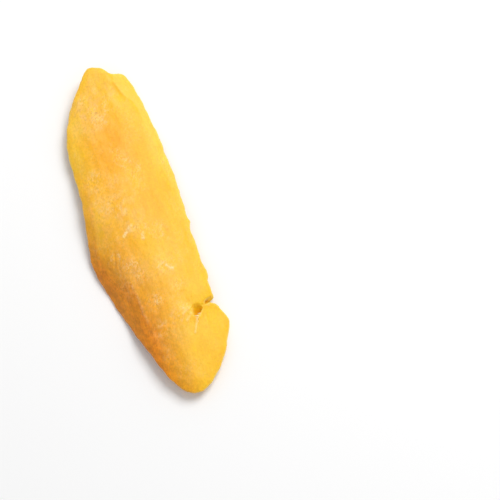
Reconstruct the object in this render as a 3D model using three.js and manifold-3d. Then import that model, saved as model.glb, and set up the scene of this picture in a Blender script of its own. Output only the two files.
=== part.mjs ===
// One slice of dried mango, cut lengthwise from the cheek of the fruit and dried until it is leathery.
// It is a long leaf of flesh, thick along the middle and thin at the rim, which has warped as it dried:
// it arches over the table, its upper right rim is folded down, its lower left side is creased down,
// and its lower right side is torn in from the edge to a small hole.
// Millimetres, +Z up. The origin is on the table under the middle of the slice, whose rounded side is up,
// and +Y runs to its upper end.
import * as THREE from "three";
import { mergeVertices } from "three/addons/utils/BufferGeometryUtils.js";
import Module from "manifold-3d";

// The flesh: its upper face is smooth from rim to rim, and it thins from below
const FULL_THICKNESS = 4.2; // along the middle
const RIM_THICKNESS = 1.2; // of the cut edge
const RIM_FALL = 4.6; // how far in from the edge the thickness is mostly reached
const RIM_ROUND = 0.25; // radius of the cut edge's corners
const RIM_EASE = { drop: 0.35, reach: 0.9 }; // how the upper face eases over to the cut edge

// The outline, seen from above, anticlockwise from the upper end
const UPPER_END = [[7.7, 59.9], [5.2, 61.1], [3, 61.4], [0.9, 60.3], [-1, 57.8]];
const LEFT_SIDE_HIGH = [[-4.8, 53.8], [-8.5, 48.9], [-12.7, 40.3], [-14.7, 30], [-15.1, 18.5]];
const LEFT_SIDE_LOW = [[-16.9, 7], [-19.2, -6.5], [-16.1, -24]];
const LOWER_END = [[-9.5, -47.5], [-6, -56.4], [-2.3, -60.6], [2.3, -61.2], [6.8, -58.7]];
const LOBE = [[14, -50.6], [17.1, -44.6], [18.8, -41.2], [18, -38], [17.2, -35.4]];
const TORN_EDGE = [[16.6, -31.8], [16.5, -29.3], [16.3, -27.2], [16.1, -25.9], [17.1, -24.6]];
const RIGHT_SIDE_LOW = [[17.4, -22.4], [16.9, -17.5], [17.2, -12], [17.1, -8.6], [17.5, -4.8]];
const NIB = [[18.3, -3.5], [17.7, -2.4]]; // a thread of flesh on the right edge
const RIGHT_SIDE_HIGH = [[18.1, 4.6], [18.5, 13.5], [18.4, 24], [18.2, 34], [17.3, 44], [16.4, 50]];
const UPPER_CORNER = [[15.9, 53], [14.9, 55.8], [13.5, 57.5], [10.8, 57.2], [9.2, 57.7]];
const EDGE_WAVERS = [
  { depth: 0.1, waves: 45, phase: 0 },
  { depth: 0.08, waves: 19, phase: 1 },
]; // small unevenness of the knife's cut

// The mesh: points round the outline, and rings from the edge to the middle line
const ROUND_POINTS = 228;
const RIM_INSETS = [RIM_ROUND, 1.1, 2.4]; // of the rings that follow the edge
const INNER_RINGS = 8;
const CORE_SHARE = 0.92; // of the way to the middle line, where the innermost ring runs
const MIDDLE_LINE = [[0.8, -45], [-1.2, -22], [0.4, 1], [3.2, 24], [5.2, 47]];

// The warp
const ARCH = { drop: 3.6, halfWidth: 18 }; // the sides hang below the middle line
const BOW = { drop: 4.2, middle: 4, halfLength: 66 }; // the ends hang below the middle
const UPPER_CURL = { rise: 4.8, from: 22, over: 40 }; // but the upper end turns up again
const FOLD_LINE_LOW = [[19.6, -24], [18.9, 2], [17.7, 16], [16.5, 25.5], [15, 31.8]];
const FOLD_LINE_HIGH = [[14.3, 37.5], [13.7, 42.2], [12.4, 46.5], [11.3, 49.7], [10.2, 53], [8.6, 58]];
const FOLD = { slope: 0.4, upperSlope: 0.7, from: 28, to: 44, soft: 0.3 }; // the right rim, bent down
const FOLD_HOLLOW = { at: [9.6, 49.4], reach: 4, rise: -0.6 }; // a dimple beside it
const CREASE_LINE_LOW = [[-9.6, -50], [-9.2, -39], [-8.8, -34.5], [-8.4, -30]];
const CREASE_LINE_MIDDLE = [[-8.6, -24.5], [-9.1, -20.8], [-10.1, -16.5]];
const CREASE_LINE_HIGH = [[-11.3, -12], [-13.4, 0], [-15.2, 12]];
const CREASE = { slope: 0.46, from: 13, to: -20, upperSoft: 2.8, lowerSoft: 0.35 }; // lower left side, bent
const CREASE_ROLL = { slope: 0.2, soft: 3.2 }; // the flesh beside it rolls over to it
const BROAD_WAVES = [
  { height: 0.25, across: 52, along: 83, phase: 0.6 },
  { height: 0.15, across: -61, along: 47, phase: 2.1 },
];
const RIDGES = [
  { height: 0.07, across: 11.5, wander: 1.3, along: 61, phase: 1 },
  { height: 0.05, across: 6.8, wander: 1.7, along: 38, phase: 3.9 },
]; // the fibres' low ridges, which run along the slice and wander
const RIM_FLUTTERS = [
  { height: 0.32, along: 26, lean: 9, reach: 8 },
  { height: 0.16, along: 11.5, lean: 4, reach: 5 },
]; // the rim curls up and down as it dries
const LIES = { height: 8.19, slopeX: 0.0776, slopeY: 0.0154 }; // how it settles, on three places of its rim

// The tear: a notch in the right edge that runs in as a slit to a small hole, which narrows downwards
const HOLE_LEFT = [[9.5, -32.5], [8.4, -32.9], [7.8, -34.4], [7.7, -36], [8.1, -36.9]];
const HOLE_RIGHT = [[9, -36.3], [9.6, -35.8], [10.4, -35.5], [11.2, -34.6], [12.2, -33.7], [11.6, -32.7]];
const HOLE_CENTRE = [9.2, -34.6];
const HOLE_LEVEL = 5.3; // height of the flesh round it, at which it has that outline
const HOLE_TAPER = 0.19; // how much smaller it gets for each millimetre down
const HOLE_FOOT = 0.5;
const SLIT_LIPS = [[11.3, -33.5], [12.9, -33.4], [14.2, -33], [16.2, -33.3], [17, -34.1], [20, -36.4]];
const NOTCH_FLAP = [[20, -28.6], [17.2, -30], [16, -31.1], [14.7, -31.6]];
const NOTCH_ROOT = [[13.6, -32.2], [12.8, -32.8], [11.3, -33]];
const SLIT_LEVEL = 3.6; // height of the flesh round the slit
const TEAR_LEAN = 0.55; // how far the tear runs towards the lower end for each millimetre down
const TEAR_TOP = 9; // over the flesh
const TEAR_FOOT = -1; // under it
const FLAP = { at: [13.5, -29.5], reach: 7, rise: 0.6 }; // the corner over the slit stands proud
const LOBE_SAG = { at: [16, -37], reach: 8, rise: -0.5 }; // the lobe under it hangs a little
const PUCKER = { at: [5.8, -34.2], reach: 4.5, rise: 0.5 }; // the flesh is drawn up beside the hole

const FLESH_COLOUR = 0xfcc04e;

const TURN = 2 * Math.PI;
const { lerp, clamp, smoothstep } = THREE.MathUtils;

// Zero on the near side of a fold, a straight ramp past it, and round over a width of soft between the two.
const ramp = (past, soft) => soft * Math.log1p(Math.exp(past / soft));

// The x of a smooth line through points, given from its lower to its upper end, at the height y.
function lineX(points, y) {
  const last = points.length - 1;
  const inside = clamp(y, points[0][1], points[last][1]);
  const i = points.findIndex((p, k) => k > 0 && p[1] >= inside);
  const slope = (k) => {
    const [low, high] = [points[Math.max(k - 1, 0)], points[Math.min(k + 1, last)]];
    return (high[0] - low[0]) / (high[1] - low[1]);
  };
  const [[x0, y0], [x1, y1]] = [points[i - 1], points[i]];
  const span = y1 - y0;
  const t = (inside - y0) / span;
  const rise = (3 - 2 * t) * t * t;
  return lerp(x0, x1, rise) + span * ((1 - t) ** 2 * t * slope(i - 1) + (t - 1) * t * t * slope(i));
}

// A round hill or hollow, with its full height at its centre and none from its reach on.
function hill(x, y, { at, reach, rise }) {
  return rise * (1 - smoothstep(Math.hypot(x - at[0], y - at[1]), 0, reach));
}

const FOLD_LINE = [...FOLD_LINE_LOW, ...FOLD_LINE_HIGH];
const CREASE_LINE = [...CREASE_LINE_LOW, ...CREASE_LINE_MIDDLE, ...CREASE_LINE_HIGH];

// Height of the upper face over the table.
function topHeight(x, y, inset) {
  const across = x - lineX(MIDDLE_LINE, y);
  const arch = ARCH.drop * (across / ARCH.halfWidth) ** 2;
  const bow = BOW.drop * ((y - BOW.middle) / BOW.halfLength) ** 2;
  const curl = UPPER_CURL.rise * Math.max(0, (y - UPPER_CURL.from) / UPPER_CURL.over) ** 2;
  const foldSlope = lerp(FOLD.slope, FOLD.upperSlope, smoothstep(y, FOLD.from, FOLD.to));
  const folded = foldSlope * ramp(x - lineX(FOLD_LINE, y), FOLD.soft);
  const deep = 1 - smoothstep(y, CREASE.to, CREASE.from);
  const soft = lerp(CREASE.upperSoft, CREASE.lowerSoft, deep);
  const pastCrease = lineX(CREASE_LINE, y) - x;
  const rolled = CREASE_ROLL.slope * ramp(pastCrease, CREASE_ROLL.soft);
  const creased = deep * (CREASE.slope * ramp(pastCrease, soft) + rolled);
  let z = curl - arch - bow - folded - creased;
  for (const { height, across: wide, along, phase } of BROAD_WAVES) {
    z += height * Math.sin(TURN * (x / wide + y / along) + phase);
  }
  for (const { height, across: wide, wander, along, phase } of RIDGES) {
    z += height * Math.sin((TURN * across) / wide + wander * Math.sin((TURN * y) / along) + phase);
  }
  for (const { height, along, lean, reach } of RIM_FLUTTERS) {
    z += height * Math.sin((TURN * y) / along + x / lean) * (1 - smoothstep(inset, 0, reach));
  }
  for (const place of [FOLD_HOLLOW, FLAP, LOBE_SAG, PUCKER]) z += hill(x, y, place);
  z -= RIM_EASE.drop * Math.exp(-inset / RIM_EASE.reach);
  return z + LIES.height - LIES.slopeX * x - LIES.slopeY * y;
}

function thickness(inset) {
  return FULL_THICKNESS - (FULL_THICKNESS - RIM_THICKNESS) * Math.exp(-inset / RIM_FALL);
}

function outlinePoints() {
  const leftSide = [...UPPER_END, ...LEFT_SIDE_HIGH, ...LEFT_SIDE_LOW];
  const rightSide = [...TORN_EDGE, ...RIGHT_SIDE_LOW, ...NIB, ...RIGHT_SIDE_HIGH, ...UPPER_CORNER];
  const corners = [...leftSide, ...LOWER_END, ...LOBE, ...rightSide];
  const points = corners.map(([x, y]) => new THREE.Vector3(x, y, 0));
  const curve = new THREE.CatmullRomCurve3(points, true, "centripetal");
  return curve.getSpacedPoints(ROUND_POINTS).slice(0, ROUND_POINTS);
}

// A ring of points a share of the way from the outline to the middle line, each with its inset.
function ring(outline, shareOf) {
  return outline.map((p, i) => {
    const y = clamp(p.y, MIDDLE_LINE[0][1], MIDDLE_LINE.at(-1)[1]);
    const target = new THREE.Vector3(lineX(MIDDLE_LINE, y), y, 0);
    const distance = target.distanceTo(p);
    const share = shareOf(distance);
    const wavers = EDGE_WAVERS.map(({ depth, waves, phase }) => {
      return depth * Math.sin((TURN * waves * i) / ROUND_POINTS + phase);
    });
    const waver = wavers.reduce((sum, part) => sum + part) * (1 - share);
    const at = p.clone().lerp(target, share + waver / distance);
    return { x: at.x, y: at.y, inset: share * distance };
  });
}

function rings(outline) {
  const made = RIM_INSETS.map((inset) => ring(outline, (distance) => inset / distance));
  const lastInset = RIM_INSETS.at(-1);
  for (let k = 1; k <= INNER_RINGS; k++) {
    const shareOf = (distance) => lerp(lastInset / distance, CORE_SHARE, k / INNER_RINGS);
    made.push(ring(outline, shareOf));
  }
  return made;
}

// Triangles between two rings of ROUND_POINTS vertices that start at the vertices a and b.
function band(a, b) {
  const faces = [];
  for (let i = 0; i < ROUND_POINTS; i++) {
    const next = (i + 1) % ROUND_POINTS;
    faces.push([a + i, a + next, b + next], [a + i, b + next, b + i]);
  }
  return faces;
}

// Triangles across the innermost ring, laced from its upper end to its lower end.
function lacing(core, first) {
  const count = core.length;
  const upper = core.reduce((best, p, i) => (p.y > core[best].y ? i : best), 0);
  const lower = core.reduce((best, p, i) => (p.y < core[best].y ? i : best), 0);
  const faces = [];
  let left = upper;
  let right = upper;
  while (left !== lower || right !== lower) {
    const nextLeft = (left + 1) % count;
    const nextRight = (right - 1 + count) % count;
    const goLeft = right === lower || (left !== lower && core[nextLeft].y > core[nextRight].y);
    const next = goLeft ? nextLeft : nextRight;
    const cornersDiffer = left !== right && next !== left && next !== right;
    if (cornersDiffer) faces.push([first + left, first + next, first + right]);
    if (goLeft) left = nextLeft;
    else right = nextRight;
  }
  return faces;
}

// The whole leaf of flesh: upper face, cut edge and lower face in one closed mesh.
function fleshGeometry() {
  const outline = outlinePoints();
  const inner = rings(outline);
  const edge = ring(outline, () => 0);
  const positions = [];
  const place = (points, depthOf) => {
    const first = positions.length / 3;
    for (const { x, y, inset } of points) {
      positions.push(x, y, Math.max(topHeight(x, y, inset) - depthOf(inset), 0));
    }
    return first;
  };
  const above = inner.map((points) => place(points, () => 0));
  const edgeTop = place(edge, () => RIM_ROUND);
  const edgeFoot = place(edge, () => RIM_THICKNESS - RIM_ROUND);
  const below = inner.map((points) => place(points, thickness));
  const faces = [];
  above.slice(1).forEach((start, k) => faces.push(...band(above[k], start)));
  faces.push(...lacing(inner.at(-1), above.at(-1)));
  faces.push(...band(edgeTop, above[0]), ...band(edgeFoot, edgeTop), ...band(below[0], edgeFoot));
  below.slice(1).forEach((start, k) => faces.push(...band(start, below[k])));
  faces.push(...lacing(inner.at(-1), below.at(-1)).map(([a, b, c]) => [a, c, b]));
  const geometry = new THREE.BufferGeometry();
  geometry.setAttribute("position", new THREE.Float32BufferAttribute(positions, 3));
  geometry.setIndex(faces.flat());
  return geometry;
}

// An upright block of an outline, from a foot to over the flesh.
function uprightBlock(outline, foot) {
  const shape = new THREE.Shape(outline.map(([x, y]) => new THREE.Vector2(x, y)));
  const geometry = new THREE.ExtrudeGeometry(shape, { depth: TEAR_TOP - foot, bevelEnabled: false });
  return geometry.translate(0, 0, foot);
}

// Leans a block as the tear does, about a level at which it stays where it is.
function leaning(geometry, level) {
  const lean = new THREE.Matrix4().makeShear(0, 0, 0, 0, 0, TEAR_LEAN);
  return geometry.applyMatrix4(lean).translate(0, -TEAR_LEAN * level, 0);
}

function holeGeometry() {
  const geometry = uprightBlock([...HOLE_LEFT, ...HOLE_RIGHT], HOLE_FOOT);
  const [centreX, centreY] = HOLE_CENTRE;
  const position = geometry.attributes.position;
  for (let i = 0; i < position.count; i++) {
    const size = 1 + HOLE_TAPER * (position.getZ(i) - HOLE_LEVEL);
    position.setX(i, centreX + size * (position.getX(i) - centreX));
    position.setY(i, centreY + size * (position.getY(i) - centreY));
  }
  return leaning(geometry, HOLE_LEVEL);
}

function slitGeometry() {
  return leaning(uprightBlock([...SLIT_LIPS, ...NOTCH_FLAP, ...NOTCH_ROOT], TEAR_FOOT), SLIT_LEVEL);
}

const wasm = await Module();
wasm.setup();

function solidOf(geometry) {
  const bare = geometry.clone();
  bare.deleteAttribute("normal");
  bare.deleteAttribute("uv");
  const merged = mergeVertices(bare);
  return new wasm.Manifold(
    new wasm.Mesh({
      numProp: 3,
      vertProperties: merged.attributes.position.array,
      triVerts: new Uint32Array(merged.index.array),
    }),
  );
}

function geometryOf(solid) {
  const { vertProperties, triVerts } = solid.getMesh();
  const geometry = new THREE.BufferGeometry();
  geometry.setAttribute("position", new THREE.BufferAttribute(vertProperties, 3));
  geometry.setIndex(new THREE.BufferAttribute(triVerts, 1));
  geometry.computeVertexNormals();
  return geometry;
}

const whole = solidOf(fleshGeometry());
const tear = solidOf(holeGeometry()).add(solidOf(slitGeometry()));
const flesh = new THREE.MeshStandardMaterial({ color: FLESH_COLOUR, roughness: 0.5, metalness: 0 });
const slice = new THREE.Mesh(geometryOf(whole.subtract(tear)), flesh);
slice.name = "mango_slice";

const group = new THREE.Group();
group.add(slice);
export default group;
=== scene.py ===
"""A slice of dried mango that lies on a pale table, seen from above."""

import math

import bpy
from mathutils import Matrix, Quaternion, Vector
from mathutils.kdtree import KDTree


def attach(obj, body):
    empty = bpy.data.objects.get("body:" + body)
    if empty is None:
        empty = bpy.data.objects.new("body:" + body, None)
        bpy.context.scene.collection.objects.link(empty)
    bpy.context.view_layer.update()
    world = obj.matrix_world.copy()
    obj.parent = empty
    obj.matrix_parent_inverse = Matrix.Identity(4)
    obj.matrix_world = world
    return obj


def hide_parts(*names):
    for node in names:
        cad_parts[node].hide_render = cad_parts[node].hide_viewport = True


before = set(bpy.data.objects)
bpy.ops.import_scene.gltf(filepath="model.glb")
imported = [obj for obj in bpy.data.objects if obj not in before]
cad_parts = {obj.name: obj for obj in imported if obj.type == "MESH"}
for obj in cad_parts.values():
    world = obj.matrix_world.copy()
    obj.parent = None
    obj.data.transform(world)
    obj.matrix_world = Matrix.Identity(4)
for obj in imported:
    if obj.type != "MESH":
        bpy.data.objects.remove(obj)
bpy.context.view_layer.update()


# The slice is one piece of mango flesh, cut lengthwise from the cheek of the fruit and dried until it is
# leathery. It is one closed skin round the whole piece: both cut faces, the thin rim, and the torn lips of
# the short tear at its side. The flesh has shrunk into low wrinkles that mostly follow its fibres.
FLESH_MESH_SIZE = 0.00032
DOUBLES_GAP = 0.000002
TEAR_PLACE = Vector((0.0095, -0.0348, 0))
LIP_ANGLE = math.radians(38)
LIP_REACH = 0.0085


def select_only(piece):
    bpy.ops.object.select_all(action="DESELECT")
    piece.select_set(True)
    bpy.context.view_layer.objects.active = piece


def apply_modifier(piece, name, kind, **settings):
    modifier = piece.modifiers.new(name, kind)
    for setting, value in settings.items():
        setattr(modifier, setting, value)
    select_only(piece)
    bpy.ops.object.modifier_apply(modifier=modifier.name)


select_only(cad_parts["mango_slice"])
bpy.ops.object.duplicate()
flesh = bpy.context.active_object
flesh.name = "dried_flesh"
bpy.ops.object.mode_set(mode="EDIT")
bpy.ops.mesh.select_all(action="SELECT")
bpy.ops.mesh.remove_doubles(threshold=DOUBLES_GAP)
bpy.ops.mesh.select_mode(type="EDGE")
bpy.ops.mesh.select_all(action="DESELECT")
bpy.ops.mesh.edges_select_sharp(sharpness=LIP_ANGLE)
bpy.ops.object.mode_set(mode="OBJECT")

# Only the lips of the tear stay sharp. Every other edge is rounded.
for edge in flesh.data.edges:
    start, end = (flesh.data.vertices[number].co for number in edge.vertices)
    edge.select = edge.select and math.dist(((start + end) / 2).xy, TEAR_PLACE.xy) < LIP_REACH
bpy.ops.object.mode_set(mode="EDIT")
bpy.ops.transform.edge_crease(value=1)
bpy.ops.object.mode_set(mode="OBJECT")
apply_modifier(flesh, "rounding", "SUBSURF", levels=1, render_levels=1)
apply_modifier(flesh, "even mesh", "REMESH", mode="VOXEL", voxel_size=FLESH_MESH_SIZE)
apply_modifier(flesh, "evening", "SMOOTH", factor=0.5, iterations=3)


def smooth_share(value, low, high):
    share = min(max((value - low) / (high - low), 0), 1)
    return share * share * (3 - 2 * share)


def tree_of(places):
    tree = KDTree(len(places))
    for number, place in enumerate(places):
        tree.insert(place, number)
    tree.balance()
    return tree


def places_along(line, step=0.0002):
    """Places at table level, a step apart, along a line through points."""
    places = []
    for start, end in zip(line, line[1:]):
        start_place = Vector((*start, 0))
        end_place = Vector((*end, 0))
        count = math.ceil((end_place - start_place).length / step)
        places += [start_place.lerp(end_place, number / count) for number in range(count + 1)]
    return places


# The crease bends the lower left side down. It runs through these places, from its lower to its upper end,
# and its blur is how wide it is. The bent side past it has low folds, which come in from their top downwards.
CREASE_LINE = [
    (-0.0086, -0.0500),
    (-0.0078, -0.0410),
    (-0.0074, -0.0361),
    (-0.0079, -0.0304),
    (-0.0080, -0.0244),
    (-0.0084, -0.0192),
    (-0.0101, -0.0165),
    (-0.0113, -0.0120),
    (-0.0134, 0.0000),
]
CREASE_BLUR = 0.0006
FOLDS_TOP = 0
FOLDS_FADE = 0.012

# The flesh is painted browner on the creased side and less and less away from it: partly its own browning,
# partly painted shade where that side bends down and away from the light. These are shares at places along
# the slice: how brown the flesh is beside the crease, how much browner it is at once past the crease, and how
# brown the rim is. The values after them say how far each of the three spreads.
BROWNED_AND_SHADED_BESIDE = [
    (0.98, -0.042),
    (0.90, -0.036),
    (0.74, -0.030),
    (0.57, -0.024),
    (0.57, -0.012),
    (0.00, 0.009),
]
BROWNED_AND_SHADED_STEP = [
    (0.02, -0.042),
    (0.06, -0.036),
    (0.20, -0.030),
    (0.33, -0.024),
    (0.25, -0.0185),
    (0.00, -0.0145),
]
BROWNED_AND_SHADED_RIM = [
    (0.00, -0.044),
    (0.90, -0.034),
    (1.00, -0.010),
    (0.85, -0.004),
    (0.50, 0.003),
    (0.27, 0.012),
    (0.15, 0.020),
    (0.00, 0.028),
]
HALO_REACH = 0.012
SIDE_BROWNING_AND_SHADE_REACH = 0.0055
RIM_BROWNING_AND_SHADE_START = 0.0022
RIM_BROWNING_AND_SHADE_END = 0.0045

# The upper right rim is folded down, and its facet starts at this line, crisply at its top and softly at its
# foot. The facet is painted paler, a painted highlight where it turns to the lamp. The highlight is duller
# away from the line, and weaker at its foot.
FACET_LINE = [
    (0.0196, -0.0240),
    (0.0189, 0.0020),
    (0.0170, 0.0150),
    (0.0155, 0.0200),
    (0.0149, 0.0280),
    (0.0146, 0.0340),
    (0.0146, 0.0384),
    (0.0145, 0.0424),
    (0.0137, 0.0453),
    (0.0124, 0.0470),
    (0.0117, 0.0480),
    (0.0111, 0.0495),
    (0.0104, 0.0519),
    (0.0100, 0.0539),
    (0.0105, 0.0564),
]
FACET_BLUR = 0.0007
FACET_FOOT_BLUR = 0.0050
FACET_BLUR_OUTSIDE = 0.6
FACET_FOOT = 0.022
FACET_TOP = 0.042
FACET_FOOT_SHARE = 0.6
FACET_DULLING = 0.45
FACET_DULLING_START = 0.001
FACET_DULLING_END = 0.0045

# Below the facet the right rim has a narrow pale band. These are its shares at places along the slice.
RIM_BAND = [(0.0, -0.030), (0.45, -0.018), (0.9, -0.002), (0.6, 0.020), (0.0, 0.032)]
RIM_BAND_START = 0.0004
RIM_BAND_END = 0.0022


def line_x(line, y):
    """How far across the slice a line through points runs, at a place along the slice."""
    inside = min(max(y, line[0][1]), line[-1][1])
    for (low_x, low_y), (high_x, high_y) in zip(line, line[1:]):
        if inside <= high_y:
            return low_x + (high_x - low_x) * (inside - low_y) / (high_y - low_y)


# The flesh is more orange in these places, each with its reach across and along, and its strength.
ORANGE_PLACES = [
    ((0.0005, 0.0310), (0.0115, 0.0190), 0.85),
    ((-0.0055, 0.0150), (0.0110, 0.0180), 0.72),
    ((0.0030, 0.0430), (0.0090, 0.0110), 0.35),
    ((0.0085, 0.0300), (0.0090, 0.0200), 0.58),
    ((0.0075, 0.0060), (0.0090, 0.0240), 0.58),
    ((-0.0060, -0.0060), (0.0120, 0.0180), 0.50),
    ((-0.0010, -0.0270), (0.0120, 0.0160), 0.40),
    ((0.0000, -0.0420), (0.0120, 0.0130), 0.15),
    ((0.0100, 0.0140), (0.0070, 0.0150), 0.30),
]

# It is yellower at these.
YELLOW_PLACES = [
    ((0.0040, 0.0590), (0.0090, 0.0070), 0.40),
    ((-0.0050, 0.0520), (0.0050, 0.0080), 0.30),
    ((-0.0095, 0.0440), (0.0050, 0.0100), 0.55),
    ((-0.0135, 0.0330), (0.0050, 0.0100), 0.45),
    ((0.0010, -0.0410), (0.0080, 0.0060), 0.25),
]

# These are clean: neither haze nor bloom dulls them.
CLEAN_PLACES = [
    ((0.0135, -0.0300), (0.0105, 0.0170), 0.90),
    ((0.0080, -0.0450), (0.0120, 0.0140), 0.70),
    ((0.0130, 0.0060), (0.0070, 0.0200), 0.50),
    ((0.0030, 0.0330), (0.0060, 0.0090), 0.60),
]

# A thin dry haze lies over these.
HAZE_PLACES = [
    ((0.0020, 0.0580), (0.0080, 0.0060), 0.30),
    ((-0.0040, 0.0460), (0.0100, 0.0150), 0.95),
    ((0.0030, 0.0530), (0.0070, 0.0070), 0.30),
    ((-0.0010, 0.0165), (0.0060, 0.0070), 0.75),
    ((0.0078, 0.0510), (0.0028, 0.0080), 0.70),
    ((-0.0110, 0.0100), (0.0090, 0.0220), 0.65),
    ((-0.0010, 0.0050), (0.0080, 0.0140), 0.65),
    ((-0.0080, -0.0130), (0.0090, 0.0100), 0.50),
    ((0.0020, -0.0160), (0.0100, 0.0120), 0.45),
    ((0.0040, -0.0340), (0.0060, 0.0050), 0.40),
]

# Pale dry bloom has come out in these.
BLOOM_PLACES = [
    ((0.0005, 0.0435), (0.0050, 0.0070), 1.0),
    ((-0.0030, 0.0500), (0.0050, 0.0050), 0.5),
    ((0.0045, 0.0465), (0.0040, 0.0060), 0.5),
    ((0.0015, 0.0288), (0.0030, 0.0070), 0.7),
    ((0.0034, 0.0245), (0.0035, 0.0060), 0.7),
    ((0.0062, 0.0195), (0.0040, 0.0070), 0.6),
    ((-0.0083, 0.0200), (0.0050, 0.0080), 0.6),
    ((-0.0045, 0.0092), (0.0060, 0.0070), 0.7),
    ((-0.0100, 0.0115), (0.0050, 0.0070), 0.3),
    ((-0.0015, 0.0002), (0.0035, 0.0035), 0.8),
    ((0.0020, -0.0024), (0.0035, 0.0050), 0.7),
    ((0.0070, -0.0040), (0.0050, 0.0060), 0.5),
    ((-0.0105, -0.0085), (0.0045, 0.0045), 0.6),
    ((-0.0070, -0.0120), (0.0060, 0.0050), 0.7),
    ((-0.0053, -0.0170), (0.0055, 0.0045), 0.5),
    ((0.0044, -0.0164), (0.0060, 0.0040), 0.9),
    ((0.0074, -0.0238), (0.0050, 0.0040), 0.6),
    ((-0.0029, -0.0275), (0.0045, 0.0045), 0.9),
    ((-0.0039, -0.0374), (0.0045, 0.0050), 0.5),
    ((0.0020, -0.0351), (0.0050, 0.0040), 0.5),
    ((0.0061, -0.0326), (0.0035, 0.0025), 0.9),
    ((0.0172, 0.0205), (0.0030, 0.0060), 0.6),
    ((0.0178, 0.0134), (0.0025, 0.0045), 0.6),
]

# The tear opens the face at its hole and at its mouth. Each has a place on the face, the slope of the face
# there from left to right, and a reach across and along. The tear's walls start a little below the face.
TEAR_LIPS = [
    ((0.0098, -0.0344, 0.0052), -0.13, (0.0030, 0.0030)),
    ((0.0146, -0.0321, 0.0038), -0.50, (0.0026, 0.0014)),
]
TORN_START = 0.0003
TORN_END = 0.0009
TORN_CORE = 0.75
TORN_LEAN = -0.5

# Between the two it is a closed slit, whose line gets the tear's painted shade.
SLIT = [(0.0116, -0.0334), (0.0122, -0.0334), (0.0129, -0.0331), (0.0137, -0.0327)]
SLIT_REACH = 0.0005

# A place is full in its core, and fades out from there to its reach.
PLACE_CORE = 0.15


def share_in_places(place, strong_places):
    """How much of something a point of the skin has that spreads from places with a reach and a strength."""
    without = 1
    for (x, y), (across, along), strength in strong_places:
        away = math.hypot((place.x - x) / across, (place.y - y) / along)
        without *= 1 - strength * (1 - smooth_share(away, PLACE_CORE, 1))
    return 1 - without


# How far each point of the skin is from the cut edge or the lips of the tear, where the skin stands steep.
RIM_LEAN = 0.45
skin_places = [Vector((vertex.co.x, vertex.co.y, 0)) for vertex in flesh.data.vertices]
skin_is_upper = [vertex.normal.z > 0 for vertex in flesh.data.vertices]
skin_is_steep = [abs(vertex.normal.z) < RIM_LEAN for vertex in flesh.data.vertices]
rim_tree = tree_of([place for place, is_steep in zip(skin_places, skin_is_steep) if is_steep])
rim_distances = [rim_tree.find(place)[2] for place in skin_places]

# How browned and shaded each point is, brown and painted shade together: past the crease, in a halo beside
# it, and along the left rim.
creased_side = []
browned_and_shaded = []
for place in skin_places:
    past_crease = line_x(CREASE_LINE, place.y) - place.x
    on_side = smooth_share(past_crease, -CREASE_BLUR / 2, CREASE_BLUR / 2)
    creased_side.append(on_side * smooth_share(FOLDS_TOP - place.y, 0, FOLDS_FADE))
    beside = line_x(BROWNED_AND_SHADED_BESIDE, place.y)
    stepped = beside + line_x(BROWNED_AND_SHADED_STEP, place.y) * on_side
    at_rim = max(line_x(BROWNED_AND_SHADED_RIM, place.y), stepped)
    side = stepped + (at_rim - stepped) * smooth_share(past_crease, 0, SIDE_BROWNING_AND_SHADE_REACH)
    halo = beside * max(0, 1 + past_crease / HALO_REACH)
    browned_and_shaded.append(side if past_crease > 0 else halo + (stepped - beside))
for number, place in enumerate(skin_places):
    if place.x < 0:
        near_rim = 1 - smooth_share(rim_distances[number], RIM_BROWNING_AND_SHADE_START, RIM_BROWNING_AND_SHADE_END)
        browned_and_shaded[number] = max(browned_and_shaded[number], line_x(BROWNED_AND_SHADED_RIM, place.y) * near_rim)

# How much each point has of the painted highlight on the folded facet, and of the pale band below it.
facet_highlight_and_band = []
for place in skin_places:
    past_fold = place.x - line_x(FACET_LINE, place.y)
    at_top = smooth_share(place.y, FACET_FOOT, FACET_TOP)
    blur = FACET_BLUR + (FACET_FOOT_BLUR - FACET_BLUR) * (1 - at_top)
    on_facet = smooth_share(past_fold, -FACET_BLUR_OUTSIDE * blur, (1 - FACET_BLUR_OUTSIDE) * blur)
    kept = 1 - FACET_DULLING * smooth_share(past_fold, FACET_DULLING_START, FACET_DULLING_END)
    facet_highlight_and_band.append(on_facet * kept * (FACET_FOOT_SHARE + (1 - FACET_FOOT_SHARE) * at_top))
for number, place in enumerate(skin_places):
    if place.x > 0:
        near_rim = 1 - smooth_share(rim_distances[number], RIM_BAND_START, RIM_BAND_END)
        facet_highlight_and_band[number] = min(1, facet_highlight_and_band[number] + line_x(RIM_BAND, place.y) * near_rim)

# How far inside the tear each point is, for the painted shade in it: its walls start below the planes through
# its lips. The underside of the slice isn't inside it.
slit_tree = tree_of(places_along(SLIT))
torn_inside = []
for vertex in flesh.data.vertices:
    inside = 1 - smooth_share(slit_tree.find(Vector((*vertex.co.xy, 0)))[2], 0, SLIT_REACH)
    for (x, y, height), lean, (across, along) in TEAR_LIPS:
        lip_height = height + lean * (vertex.co.x - x)
        below_lip = smooth_share(lip_height - vertex.co.z, TORN_START, TORN_END)
        away = math.hypot((vertex.co.x - x) / across, (vertex.co.y - y) / along)
        inside = max(inside, below_lip * (1 - smooth_share(away, TORN_CORE, 1)))
    torn_inside.append(inside if vertex.normal.z > TORN_LEAN else 0)

bloomed = []
for place, is_upper in zip(skin_places, skin_is_upper):
    bloomed.append(share_in_places(place, BLOOM_PLACES) if is_upper else 0)


def paint(piece, name, values):
    """Gives each point of a piece a value that its material reads by name."""
    attribute = piece.data.attributes.new(name, "FLOAT", "POINT")
    attribute.data.foreach_set("value", values)


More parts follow.
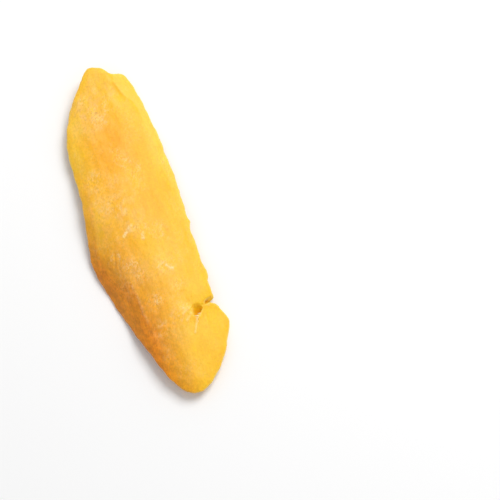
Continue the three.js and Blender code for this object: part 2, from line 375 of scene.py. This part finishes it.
paint(flesh, "from_rim", rim_distances)
paint(flesh, "browned_and_shaded", browned_and_shaded)
paint(flesh, "facet_highlight_and_band", facet_highlight_and_band)
paint(flesh, "orange", [share_in_places(place, ORANGE_PLACES) for place in skin_places])
paint(flesh, "yellow", [share_in_places(place, YELLOW_PLACES) for place in skin_places])
paint(flesh, "clean", [share_in_places(place, CLEAN_PLACES) for place in skin_places])
paint(flesh, "torn_inside", torn_inside)
paint(flesh, "hazed", [share_in_places(place, HAZE_PLACES) for place in skin_places])
paint(flesh, "bloomed", bloomed)


def group_of(piece, name, shares):
    group = piece.vertex_groups.new(name=name)
    for number, share in enumerate(shares):
        if share > 0:
            group.add([number], share, "REPLACE")
    return group.name


# The flesh is wrinkled less at its rim, the rim is worn, the creased side is folded, and the flesh round the
# tear is puckered.
RIM_WRINKLE_SHARE = 0.25
INNER_REACH = 0.003
EDGE_REACH = 0.0012
PUCKER_START = 0.001
PUCKER_END = 0.0075
inner_shares = []
edge_shares = []
for distance in rim_distances:
    inner_shares.append(RIM_WRINKLE_SHARE + (1 - RIM_WRINKLE_SHARE) * smooth_share(distance, 0, INNER_REACH))
    edge_shares.append(1 - smooth_share(distance, 0, EDGE_REACH))
tear_distances = [(place - TEAR_PLACE).length for place in skin_places]
pucker_shares = [1 - smooth_share(distance, PUCKER_START, PUCKER_END) for distance in tear_distances]
group_of(flesh, "inner", inner_shares)
group_of(flesh, "edge", edge_shares)
group_of(flesh, "flank", creased_side)
group_of(flesh, "pucker", pucker_shares)


def raise_lines(piece, name, lines, reach, height):
    """Raises the upper face along lines, or presses it in by a negative height, and returns the shares."""
    tree = tree_of([place for line in lines for place in places_along(line)])
    shares = []
    for place, is_upper in zip(skin_places, skin_is_upper):
        shares.append(1 - smooth_share(tree.find(place)[2], 0, reach) if is_upper else 0)
    group = group_of(piece, name, shares)
    settings = {"strength": height, "mid_level": 0, "direction": "NORMAL", "vertex_group": group}
    apply_modifier(piece, name, "DISPLACE", **settings)
    return shares


def wrinkle(piece, name, width, length, turn, depth, group):
    """Presses a soft cloud pattern into the skin, with its turn from the slice's length in degrees."""
    clouds = bpy.data.textures.new(name, "CLOUDS")
    clouds.noise_scale = 1
    clouds.noise_depth = 2
    bpy.ops.object.select_all(action="DESELECT")
    bpy.ops.object.empty_add(location=(0, 0, 0), rotation=(0, 0, math.radians(turn)))
    pattern_frame = bpy.context.active_object
    pattern_frame.scale = (width, length, width)
    bpy.context.view_layer.update()
    apply_modifier(
        piece,
        name,
        "DISPLACE",
        texture=clouds,
        texture_coords="OBJECT",
        texture_coords_object=pattern_frame,
        strength=depth,
        mid_level=0.5,
        direction="NORMAL",
        vertex_group=group,
    )
    bpy.data.objects.remove(pattern_frame)
    bpy.data.textures.remove(clouds)


# The fold has a crisp edge with a hollow beside it, and the crease a crisp lip where it is sharp. Small
# wrinkles branch where the crease starts. Bloom has gathered on a few scratches, and less on the ridges of
# torn flesh beside the hole. The lip of the crease has a faint painted highlight.
FOLD_EDGE = FACET_LINE[5:-1]
FOLD_HOLLOW = [(0.0090, 0.0522), (0.0097, 0.0497), (0.0108, 0.0472)]
CREASE_LIP = [(-0.0088, -0.0195), (-0.0082, -0.0240), (-0.0080, -0.0300), (-0.0076, -0.0335)]
START_HOLLOWS = [
    [(-0.0106, -0.0066), (-0.0109, -0.0080), (-0.0116, -0.0100), (-0.0125, -0.0117)],
    [(-0.0092, -0.0082), (-0.0104, -0.0104), (-0.0108, -0.0128)],
]
START_RIDGES = [
    [(-0.0115, -0.0075), (-0.0122, -0.0095), (-0.0131, -0.0113)],
    [(-0.0102, -0.0087), (-0.0106, -0.0098)],
]
PALE_STREAKS = [
    [(-0.0019, 0.0009), (-0.0037, -0.0005), (-0.0055, -0.0021)],
    [(0.0009, -0.0030), (0.0004, -0.0052)],
    [(0.0048, -0.0165), (0.0065, -0.0180)],
]
TEAR_RIDGES = [
    [(0.0074, -0.0330), (0.0060, -0.0335), (0.0045, -0.0345)],
    [(0.0084, -0.0373), (0.0074, -0.0395), (0.0062, -0.0418)],
    [(0.0070, -0.0350), (0.0058, -0.0362), (0.0050, -0.0372)],
]
TEAR_RIDGE_PALENESS = 0.55
CREASE_LIP_HIGHLIGHT = 0.2
raise_lines(flesh, "fold edge", [FOLD_EDGE], reach=0.0012, height=0.00012)
raise_lines(flesh, "fold hollow", [FOLD_HOLLOW], reach=0.0022, height=-0.0003)
lip_shares = raise_lines(flesh, "crease lip", [CREASE_LIP], reach=0.0008, height=0.00014)
raise_lines(flesh, "slit", [SLIT], reach=0.0006, height=-0.00045)
raise_lines(flesh, "start hollows", START_HOLLOWS, reach=0.0006, height=-0.00018)
raise_lines(flesh, "start ridges", START_RIDGES, reach=0.0005, height=0.00008)
streak_shares = raise_lines(flesh, "pale streaks", PALE_STREAKS, reach=0.0009, height=0.00006)
tear_shares = raise_lines(flesh, "tear ridges", TEAR_RIDGES, reach=0.0008, height=0.00022)
pale_and_highlight_shares = []
for streak, tear, lip in zip(streak_shares, tear_shares, lip_shares):
    pale_and_highlight_shares.append(max(streak, TEAR_RIDGE_PALENESS * tear, CREASE_LIP_HIGHLIGHT * lip))
paint(flesh, "pale_ridges_and_lip_highlight", pale_and_highlight_shares)

wrinkle(flesh, "shrinkage", width=0.0050, length=0.0160, turn=4, depth=0.00035, group="inner")
wrinkle(flesh, "fibres", width=0.0011, length=0.0080, turn=-3, depth=0.00009, group="inner")
wrinkle(flesh, "grain", width=0.0013, length=0.0017, turn=40, depth=0.00009, group="inner")
wrinkle(flesh, "folds", width=0.0016, length=0.0070, turn=24, depth=0.00018, group="flank")
wrinkle(flesh, "pucker", width=0.0011, length=0.0045, turn=-12, depth=0.00060, group="pucker")
wrinkle(flesh, "edge wear", width=0.0016, length=0.0020, turn=30, depth=0.00035, group="edge")

# Where the slice rests, its own weight has pressed it flat on the table.
for vertex in flesh.data.vertices:
    vertex.co.z = max(vertex.co.z, 0)
select_only(flesh)
bpy.ops.object.shade_smooth()

flesh_paint = bpy.data.materials.new("dried_mango_flesh")
flesh_paint.use_nodes = True
flesh_tree = flesh_paint.node_tree


def add_node(kind, inputs, **settings):
    """Adds a node to the flesh's material, and sets its inputs or links them to other nodes' outputs."""
    node = flesh_tree.nodes.new(kind)
    for name, value in settings.items():
        setattr(node, name, value)
    for name, value in inputs.items():
        if isinstance(value, bpy.types.NodeSocket):
            flesh_tree.links.new(value, node.inputs[name])
        else:
            node.inputs[name].default_value = value
    return node


def mix_colour(share, first, second, blend="MIX"):
    mix = flesh_tree.nodes.new("ShaderNodeMix")
    mix.data_type = "RGBA"
    mix.blend_type = blend
    for index, value in ((0, share), (6, first), (7, second)):
        if isinstance(value, bpy.types.NodeSocket):
            flesh_tree.links.new(value, mix.inputs[index])
        else:
            mix.inputs[index].default_value = value
    return mix.outputs[2]


def part_of_range(value, span, to=(0, 1)):
    """How far a value lies in a span, eased, as a value between the two that it goes to."""
    inputs = {"Value": value, "From Min": span[0], "From Max": span[1], "To Min": to[0], "To Max": to[1]}
    return add_node("ShaderNodeMapRange", inputs, interpolation_type="SMOOTHSTEP").outputs["Result"]


def times(first, second):
    return add_node("ShaderNodeMath", {0: first, 1: second}, operation="MULTIPLY").outputs[0]


def plus(first, second):
    return add_node("ShaderNodeMath", {0: first, 1: second}, operation="ADD").outputs[0]


def larger(first, second):
    return add_node("ShaderNodeMath", {0: first, 1: second}, operation="MAXIMUM").outputs[0]


def skin_value(name):
    return add_node("ShaderNodeAttribute", {}, attribute_name=name).outputs["Fac"]


flesh_place = add_node("ShaderNodeTexCoord", {}).outputs["Object"]


def pattern(width, length, turn=0, detail=2, roughness=0.5):
    """A noise whose features have a width and a length, with its turn from the slice's length in degrees."""
    mapping = add_node(
        "ShaderNodeMapping",
        {"Vector": flesh_place, "Rotation": (0, 0, math.radians(turn)), "Scale": (width, length, width)},
        vector_type="TEXTURE",
    )
    inputs = {"Vector": mapping.outputs["Vector"], "Scale": 1, "Detail": detail, "Roughness": roughness}
    return add_node("ShaderNodeTexNoise", inputs).outputs["Fac"]


# These are the colours of the flesh, and how much each covers what is under it where it is fullest.
CORE_COLOUR = (0.94, 0.415, 0.005, 1)
YELLOW_COLOUR = (0.95, 0.535, 0.012, 1)
HAZE_COLOUR = (0.95, 0.52, 0.120, 1)
PALE_AND_HIGHLIGHT_COLOUR = (0.96, 0.60, 0.075, 1)
EDGE_AND_HIGHLIGHT_COLOUR = (0.96, 0.66, 0.12, 1)
BROWNED_AND_SHADED_COLOUR = (0.70, 0.205, 0.003, 1)
TEAR_SHADE_COLOUR = (0.92, 0.53, 0.008, 1)
BLOOM_COLOUR = (0.98, 0.73, 0.35, 1)
HAZE_COVER = 0.95
FACET_HIGHLIGHT_AND_BAND_COVER = 0.8
INNER_LINE_COVER = 0.4
EDGE_HIGHLIGHT_COVER = 0.6
BROWNED_AND_SHADED_COVER = 0.9
TEAR_SHADE_COVER = 0.8
BLOOM_COVER = 0.8

# A pattern's values lie round one half. A span says where in them something sets in and where it is full, and
# these two take in most of them, or their middle.
MOST = (0.3, 0.7)
MIDDLE = (0.35, 0.65)

rim_distance = skin_value("from_rim")
browned_and_shaded_share = skin_value("browned_and_shaded")
bloomed_share = skin_value("bloomed")
facet_highlight_and_band_share = skin_value("facet_highlight_and_band")
broad_clouds = pattern(width=0.009, length=0.020, turn=8, detail=3)
mottling = pattern(width=0.0035, length=0.0060, detail=3)
streaks = pattern(width=0.0007, length=0.0090, turn=-3, detail=3)
grain = pattern(width=0.0009, length=0.0012, turn=35)
speckle = pattern(width=0.00045, length=0.00060)

# The flesh is orange inside and yellower towards the skin of the fruit, which was on the right.
CLOUD_TINT = 0.18
cloud_tint = part_of_range(broad_clouds, span=(0.25, 0.75), to=(-CLOUD_TINT, CLOUD_TINT))
tone = mix_colour(plus(skin_value("orange"), cloud_tint), YELLOW_COLOUR, CORE_COLOUR)

# The haze lies in small clumps on its places, and thinly in a few broad clouds beside them.
STRAY_HAZE = 0.3
haze_clouds = times(part_of_range(broad_clouds, (0.42, 0.62)), part_of_range(mottling, MIDDLE, to=(0.2, 1)))
haze_clumps = pattern(width=0.0022, length=0.0032, turn=-25, detail=3)
dulled = part_of_range(skin_value("clean"), (0, 1), to=(1, 0))
clumped = times(part_of_range(haze_clumps, (0.36, 0.64), to=(0.3, 1)), dulled)
haze = times(plus(times(haze_clouds, STRAY_HAZE), skin_value("hazed")), clumped)
tone = mix_colour(times(haze, HAZE_COVER), tone, HAZE_COLOUR)

# The yellower places and the pale band below the facet are pale, and the facet has a painted highlight. A
# yellow line runs just inside the rest of the rim, and the edge of the rim is palest: thin pale flesh with a
# painted highlight on it. The browned flesh with its painted shade, and the painted shade inside the tear, go
# over these.
INNER_LINE_START = (0.0006, 0.0010)
INNER_LINE_END = (0.0014, 0.0026)
EDGE_SPAN = (0.0001, 0.0005)
tone = mix_colour(skin_value("yellow"), tone, PALE_AND_HIGHLIGHT_COLOUR)
tone = mix_colour(times(facet_highlight_and_band_share, FACET_HIGHLIGHT_AND_BAND_COVER), tone, PALE_AND_HIGHLIGHT_COLOUR)
line_started = part_of_range(rim_distance, INNER_LINE_START)
line_not_ended = part_of_range(rim_distance, INNER_LINE_END, to=(1, 0))
off_facet = part_of_range(facet_highlight_and_band_share, (0, 0.2), to=(INNER_LINE_COVER, 0))
tone = mix_colour(times(times(line_started, line_not_ended), off_facet), tone, YELLOW_COLOUR)
# The pale edge is partly the thin flesh of the rim and partly a painted highlight.
edge = part_of_range(rim_distance, EDGE_SPAN, to=(1, 0))
tone = mix_colour(times(edge, EDGE_HIGHLIGHT_COVER), tone, EDGE_AND_HIGHLIGHT_COLOUR)
# The creased side gets its own brown and its painted shade.
tone = mix_colour(times(browned_and_shaded_share, BROWNED_AND_SHADED_COVER), tone, BROWNED_AND_SHADED_COLOUR)
# The tear's walls and its slit get a painted shade.
tone = mix_colour(times(skin_value("torn_inside"), TEAR_SHADE_COVER), tone, TEAR_SHADE_COLOUR)

# Fibres, grain and fine speckle make the tone uneven. Browned and shaded flesh has blotches, and half-browned
# flesh gets a little painted shade. Short fine marks cover the skin, most of all where it is browned and
# shaded, hazed or bloomed.
HALF_BROWNED_PAINTED_SHADE = -0.12
BROWNED_AND_SHADED_COARSENESS = 0.6
HAZE_COARSENESS = 0.7
LEAST_COARSENESS = 0.12
mottled_shade = part_of_range(mottling, MOST, to=(0.975, 1.020))
streak_shade = part_of_range(streaks, MOST, to=(0.980, 1.015))
grain_shade = part_of_range(grain, MOST, to=(0.960, 1.030))
speckle_shade = part_of_range(speckle, MOST, to=(0.965, 1.030))
shade = times(times(mottled_shade, streak_shade), times(grain_shade, speckle_shade))
blotches = pattern(width=0.0016, length=0.0030, turn=20, detail=3, roughness=0.55)
shade = plus(shade, times(part_of_range(blotches, MIDDLE, to=(-0.13, 0.10)), browned_and_shaded_share))
half_browned_shade = times(browned_and_shaded_share, part_of_range(browned_and_shaded_share, (0, 1), to=(1, 0)))
shade = plus(shade, times(half_browned_shade, HALF_BROWNED_PAINTED_SHADE))
coarse = larger(bloomed_share, larger(times(browned_and_shaded_share, BROWNED_AND_SHADED_COARSENESS), times(haze, HAZE_COARSENESS)))
coarse = plus(times(coarse, dulled), LEAST_COARSENESS)
coarse = times(coarse, part_of_range(mottling, MIDDLE, to=(0.5, 1.2)))
fine_marks = pattern(width=0.0005, length=0.0011, turn=-22, detail=4, roughness=0.6)
shade = plus(shade, times(part_of_range(fine_marks, (0.32, 0.68), to=(-0.14, 0.19)), coarse))
shade_colour = add_node("ShaderNodeCombineColor", {"Red": shade, "Green": shade, "Blue": shade})
tone = mix_colour(1.0, tone, shade_colour.outputs["Color"], blend="MULTIPLY")

# The bloom is small soft pale spots, longer one way than the other, and fine dust between them. It keeps off
# the rim and the clean places. The pale ridges have it too, and the crease lip its painted highlight, broken
# by the grain.
DUST_SHARE = 0.6
THIN_BLOOM = 0.25
BLOOM_FROM_RIM = (0.0003, 0.0020)
GRAIN_TOP = (0.35, 0.60)
long_spots = part_of_range(pattern(width=0.0009, length=0.0018, turn=-47, detail=4), (0.50, 0.68))
short_spots = part_of_range(pattern(width=0.0008, length=0.0013, turn=16, detail=4), (0.52, 0.70))
dust = part_of_range(pattern(width=0.0005, length=0.0008, turn=-30, detail=3), (0.46, 0.64))
patchy = part_of_range(pattern(width=0.0022, length=0.0034, turn=-20, detail=3), (0.36, 0.60))
bloom_clouds = pattern(width=0.007, length=0.011, detail=4, roughness=0.6)
thin_bloom = part_of_range(bloom_clouds, (0.42, 0.70), to=(0, THIN_BLOOM))
bloom = times(larger(long_spots, larger(short_spots, times(dust, DUST_SHARE))), dulled)
bloom = times(bloom, larger(times(bloomed_share, patchy), thin_bloom))
bloom = times(bloom, part_of_range(rim_distance, BLOOM_FROM_RIM))
grain_tops = part_of_range(grain, GRAIN_TOP, to=(0.35, 1.2))
speckle_tops = part_of_range(speckle, GRAIN_TOP, to=(0.5, 1.1))
bloom = plus(bloom, times(skin_value("pale_ridges_and_lip_highlight"), times(grain_tops, speckle_tops)))
tone = mix_colour(times(bloom, BLOOM_COVER), tone, BLOOM_COLOUR)

# Streaks, grain and bloom stand up a little from the skin, and the bloom is matt.
STREAK_RELIEF = 0.4
GRAIN_RELIEF = 0.5
BUMP_STRENGTH = 0.5
BUMP_HEIGHT = 0.0001
CLEAN_ROUGHNESS = 0.52
BLOOM_ROUGHNESS = 0.8
FLESH_FINISH = {
    "IOR": 1.42,
    "Subsurface Weight": 0.3,
    "Subsurface Radius": (1, 0.5, 0.12),
    "Subsurface Scale": 0.002,
}
relief = plus(times(streaks, STREAK_RELIEF), times(plus(grain, plus(speckle, bloom)), GRAIN_RELIEF))
bump_inputs = {"Height": relief, "Strength": BUMP_STRENGTH, "Distance": BUMP_HEIGHT}
flesh_bump = add_node("ShaderNodeBump", bump_inputs).outputs["Normal"]
flesh_roughness = part_of_range(bloom, (0, 1), to=(CLEAN_ROUGHNESS, BLOOM_ROUGHNESS))

flesh_shader = flesh_tree.nodes["Principled BSDF"]
flesh_tree.links.new(tone, flesh_shader.inputs["Base Color"])
flesh_tree.links.new(flesh_roughness, flesh_shader.inputs["Roughness"])
flesh_tree.links.new(flesh_bump, flesh_shader.inputs["Normal"])
for name, value in FLESH_FINISH.items():
    flesh_shader.inputs[name].default_value = value
flesh.data.materials.clear()
flesh.data.materials.append(flesh_paint)

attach(flesh, "root")
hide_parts("mango_slice")


# Shreds of fibre stand at the torn lip of the hole. Each is a thin thread of the flesh that has dried pale,
# with its root in the lip, and it tapers and curls towards its end.
SHRED_SIDES = 7
SHRED_STEPS = 5
SHRED_TAPER = 0.8
SHRED_ROOT_SHARE = 0.15
HEIGHT_ABOVE_SKIN = 0.008
SHREDS = [
    {"root": (0.0104, -0.0357), "heading": 158, "rise": 0.1, "curl": 7, "length": 0.0012, "radius": 0.00024},
    {"root": (0.0101, -0.0361), "heading": 182, "rise": 0.2, "curl": -9, "length": 0.0015, "radius": 0.00027},
    {"root": (0.0096, -0.0365), "heading": 148, "rise": 0.3, "curl": 10, "length": 0.0011, "radius": 0.00022},
    {"root": (0.0092, -0.0369), "heading": 205, "rise": 0.1, "curl": 8, "length": 0.0013, "radius": 0.00020},
    {"root": (0.0087, -0.0373), "heading": 262, "rise": 0.1, "curl": 5, "length": 0.0019, "radius": 0.00015},
    {"root": (0.0094, -0.0370), "heading": 300, "rise": 0.1, "curl": -8, "length": 0.0009, "radius": 0.00017},
]


def grow_shred(root, heading, rise, curl, length, radius):
    """A tapered, curled thread that starts just under the skin at its root and heads away along it."""
    skin_place = flesh.closest_point_on_mesh(Vector((*root, HEIGHT_ABOVE_SKIN)))[1]
    turn = math.radians(heading)
    way = Vector((math.cos(turn), math.sin(turn), rise)).normalized()
    start = skin_place - SHRED_ROOT_SHARE * length * way
    bpy.ops.object.select_all(action="DESELECT")
    bpy.ops.mesh.primitive_circle_add(
        vertices=SHRED_SIDES,
        radius=radius,
        fill_type="NGON",
        location=start,
        rotation=way.to_track_quat("Z", "Y").to_euler(),
    )
    bpy.ops.object.transform_apply(location=True, rotation=True, scale=True)
    bpy.ops.object.mode_set(mode="EDIT")
    bpy.ops.mesh.select_all(action="SELECT")
    end = start
    for step in range(SHRED_STEPS):
        bpy.ops.mesh.extrude_region_move(TRANSFORM_OT_translate={"value": way * length / SHRED_STEPS})
        end = end + way * length / SHRED_STEPS
        bpy.ops.transform.resize(value=(SHRED_TAPER, SHRED_TAPER, SHRED_TAPER), center_override=end)
        way.rotate(Quaternion((0, 0, 1), math.radians(curl)))
    bpy.ops.mesh.select_all(action="SELECT")
    bpy.ops.mesh.normals_make_consistent(inside=False)
    bpy.ops.object.mode_set(mode="OBJECT")
    return bpy.context.active_object


grown_shreds = [grow_shred(**shred) for shred in SHREDS]
for shred in grown_shreds:
    shred.select_set(True)
bpy.context.view_layer.objects.active = grown_shreds[0]
bpy.ops.object.join()
shreds = bpy.context.active_object
shreds.name = "torn_fibres"
apply_modifier(shreds, "rounding", "SUBSURF", levels=1, render_levels=1)
select_only(shreds)
bpy.ops.object.shade_smooth()

FIBRE_COLOUR = (0.96, 0.60, 0.16, 1)
PALE_FIBRE_COLOUR = (0.98, 0.83, 0.50, 1)
FIBRE_SPOTS_PER_METRE = 1800
FIBRE_BUMP_STRENGTH = 0.4
FIBRE_BUMP_HEIGHT = 0.00005
FIBRE_FINISH = {"Roughness": 0.65, "IOR": 1.42}

shred_paint = bpy.data.materials.new("pale_fibre")
shred_paint.use_nodes = True
shred_nodes = shred_paint.node_tree.nodes
shred_links = shred_paint.node_tree.links
shred_place = shred_nodes.new("ShaderNodeTexCoord")
shred_noise = shred_nodes.new("ShaderNodeTexNoise")
shred_noise.inputs["Scale"].default_value = FIBRE_SPOTS_PER_METRE
shred_noise.inputs["Detail"].default_value = 3
shred_ramp = shred_nodes.new("ShaderNodeValToRGB")
for stop, position, colour in zip(shred_ramp.color_ramp.elements, MIDDLE, (FIBRE_COLOUR, PALE_FIBRE_COLOUR)):
    stop.position = position
    stop.color = colour
shred_bump = shred_nodes.new("ShaderNodeBump")
shred_bump.inputs["Strength"].default_value = FIBRE_BUMP_STRENGTH
shred_bump.inputs["Distance"].default_value = FIBRE_BUMP_HEIGHT
shred_shader = shred_nodes["Principled BSDF"]
for name, value in FIBRE_FINISH.items():
    shred_shader.inputs[name].default_value = value
shred_links.new(shred_place.outputs["Object"], shred_noise.inputs["Vector"])
shred_links.new(shred_noise.outputs["Fac"], shred_ramp.inputs["Fac"])
shred_links.new(shred_noise.outputs["Fac"], shred_bump.inputs["Height"])
shred_links.new(shred_ramp.outputs["Color"], shred_shader.inputs["Base Color"])
shred_links.new(shred_bump.outputs["Normal"], shred_shader.inputs["Normal"])
shreds.data.materials.append(shred_paint)

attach(shreds, "root")


# The table is a broad flat sheet, painted pale and matt. It fills the view, and carries only the slice and
# the slice's shadow.
TABLE_SIZE = 3
TABLE_COLOUR = (0.95, 0.95, 0.95, 1)
TABLE_ROUGHNESS = 0.8

bpy.ops.object.select_all(action="DESELECT")
bpy.ops.mesh.primitive_plane_add(size=TABLE_SIZE, location=(0, 0, 0))
table = bpy.context.active_object
table.name = "table"
table_paint = bpy.data.materials.new("pale_table")
table_paint.use_nodes = True
table_shader = table_paint.node_tree.nodes["Principled BSDF"]
table_shader.inputs["Base Color"].default_value = TABLE_COLOUR
table_shader.inputs["Roughness"].default_value = TABLE_ROUGHNESS
table.data.materials.append(table_paint)


# The light is that of a white studio. An even white surround fills the shadows, and one broad soft lamp
# stands high behind the slice on the right, turned to it.
SKY_COLOUR = (1, 1, 1, 1)
SKY_STRENGTH = 0.555
SOFTBOX_PLACE = Vector((0.42, 0.26, 0.7))
SOFTBOX_SIZE = 0.45
SOFTBOX_POWER = 4.95

studio = bpy.data.worlds.new("white_studio")
studio.use_nodes = True
studio.node_tree.nodes["Background"].inputs["Color"].default_value = SKY_COLOUR
studio.node_tree.nodes["Background"].inputs["Strength"].default_value = SKY_STRENGTH
bpy.context.scene.world = studio

bpy.ops.object.select_all(action="DESELECT")
bpy.ops.object.light_add(type="AREA", location=SOFTBOX_PLACE)
softbox = bpy.context.active_object
softbox.name = "main_softbox"
softbox.data.shape = "SQUARE"
softbox.data.size = SOFTBOX_SIZE
softbox.data.energy = SOFTBOX_POWER
softbox.rotation_euler = SOFTBOX_PLACE.to_track_quat("Z", "Y").to_euler()


# The camera looks steeply down on the lying slice, along the line on which its face was seen. Its lens is
# long, and nothing is out of focus.
VIEW_TURN = math.radians(-20.5)
VIEW_HEIGHT = math.radians(75)
VIEW_DISTANCE = 0.48611
VIEW_AIM = Vector((0.034263, -0.019753, 0))
LENS = 100
SENSOR_WIDTH = 36
NEAREST_SEEN = 0.01

to_camera = Vector(
    (
        math.sin(VIEW_TURN) * math.cos(VIEW_HEIGHT),
        -math.cos(VIEW_TURN) * math.cos(VIEW_HEIGHT),
        math.sin(VIEW_HEIGHT),
    )
)
bpy.ops.object.select_all(action="DESELECT")
bpy.ops.object.camera_add(location=VIEW_AIM + VIEW_DISTANCE * to_camera)
camera = bpy.context.active_object
camera.name = "camera"
camera.rotation_euler = to_camera.to_track_quat("Z", "Y").to_euler()
camera.data.lens = LENS
camera.data.sensor_width = SENSOR_WIDTH
camera.data.clip_start = NEAREST_SEEN
bpy.context.scene.camera = camera
bpy.context.scene.view_settings.view_transform = "Standard"
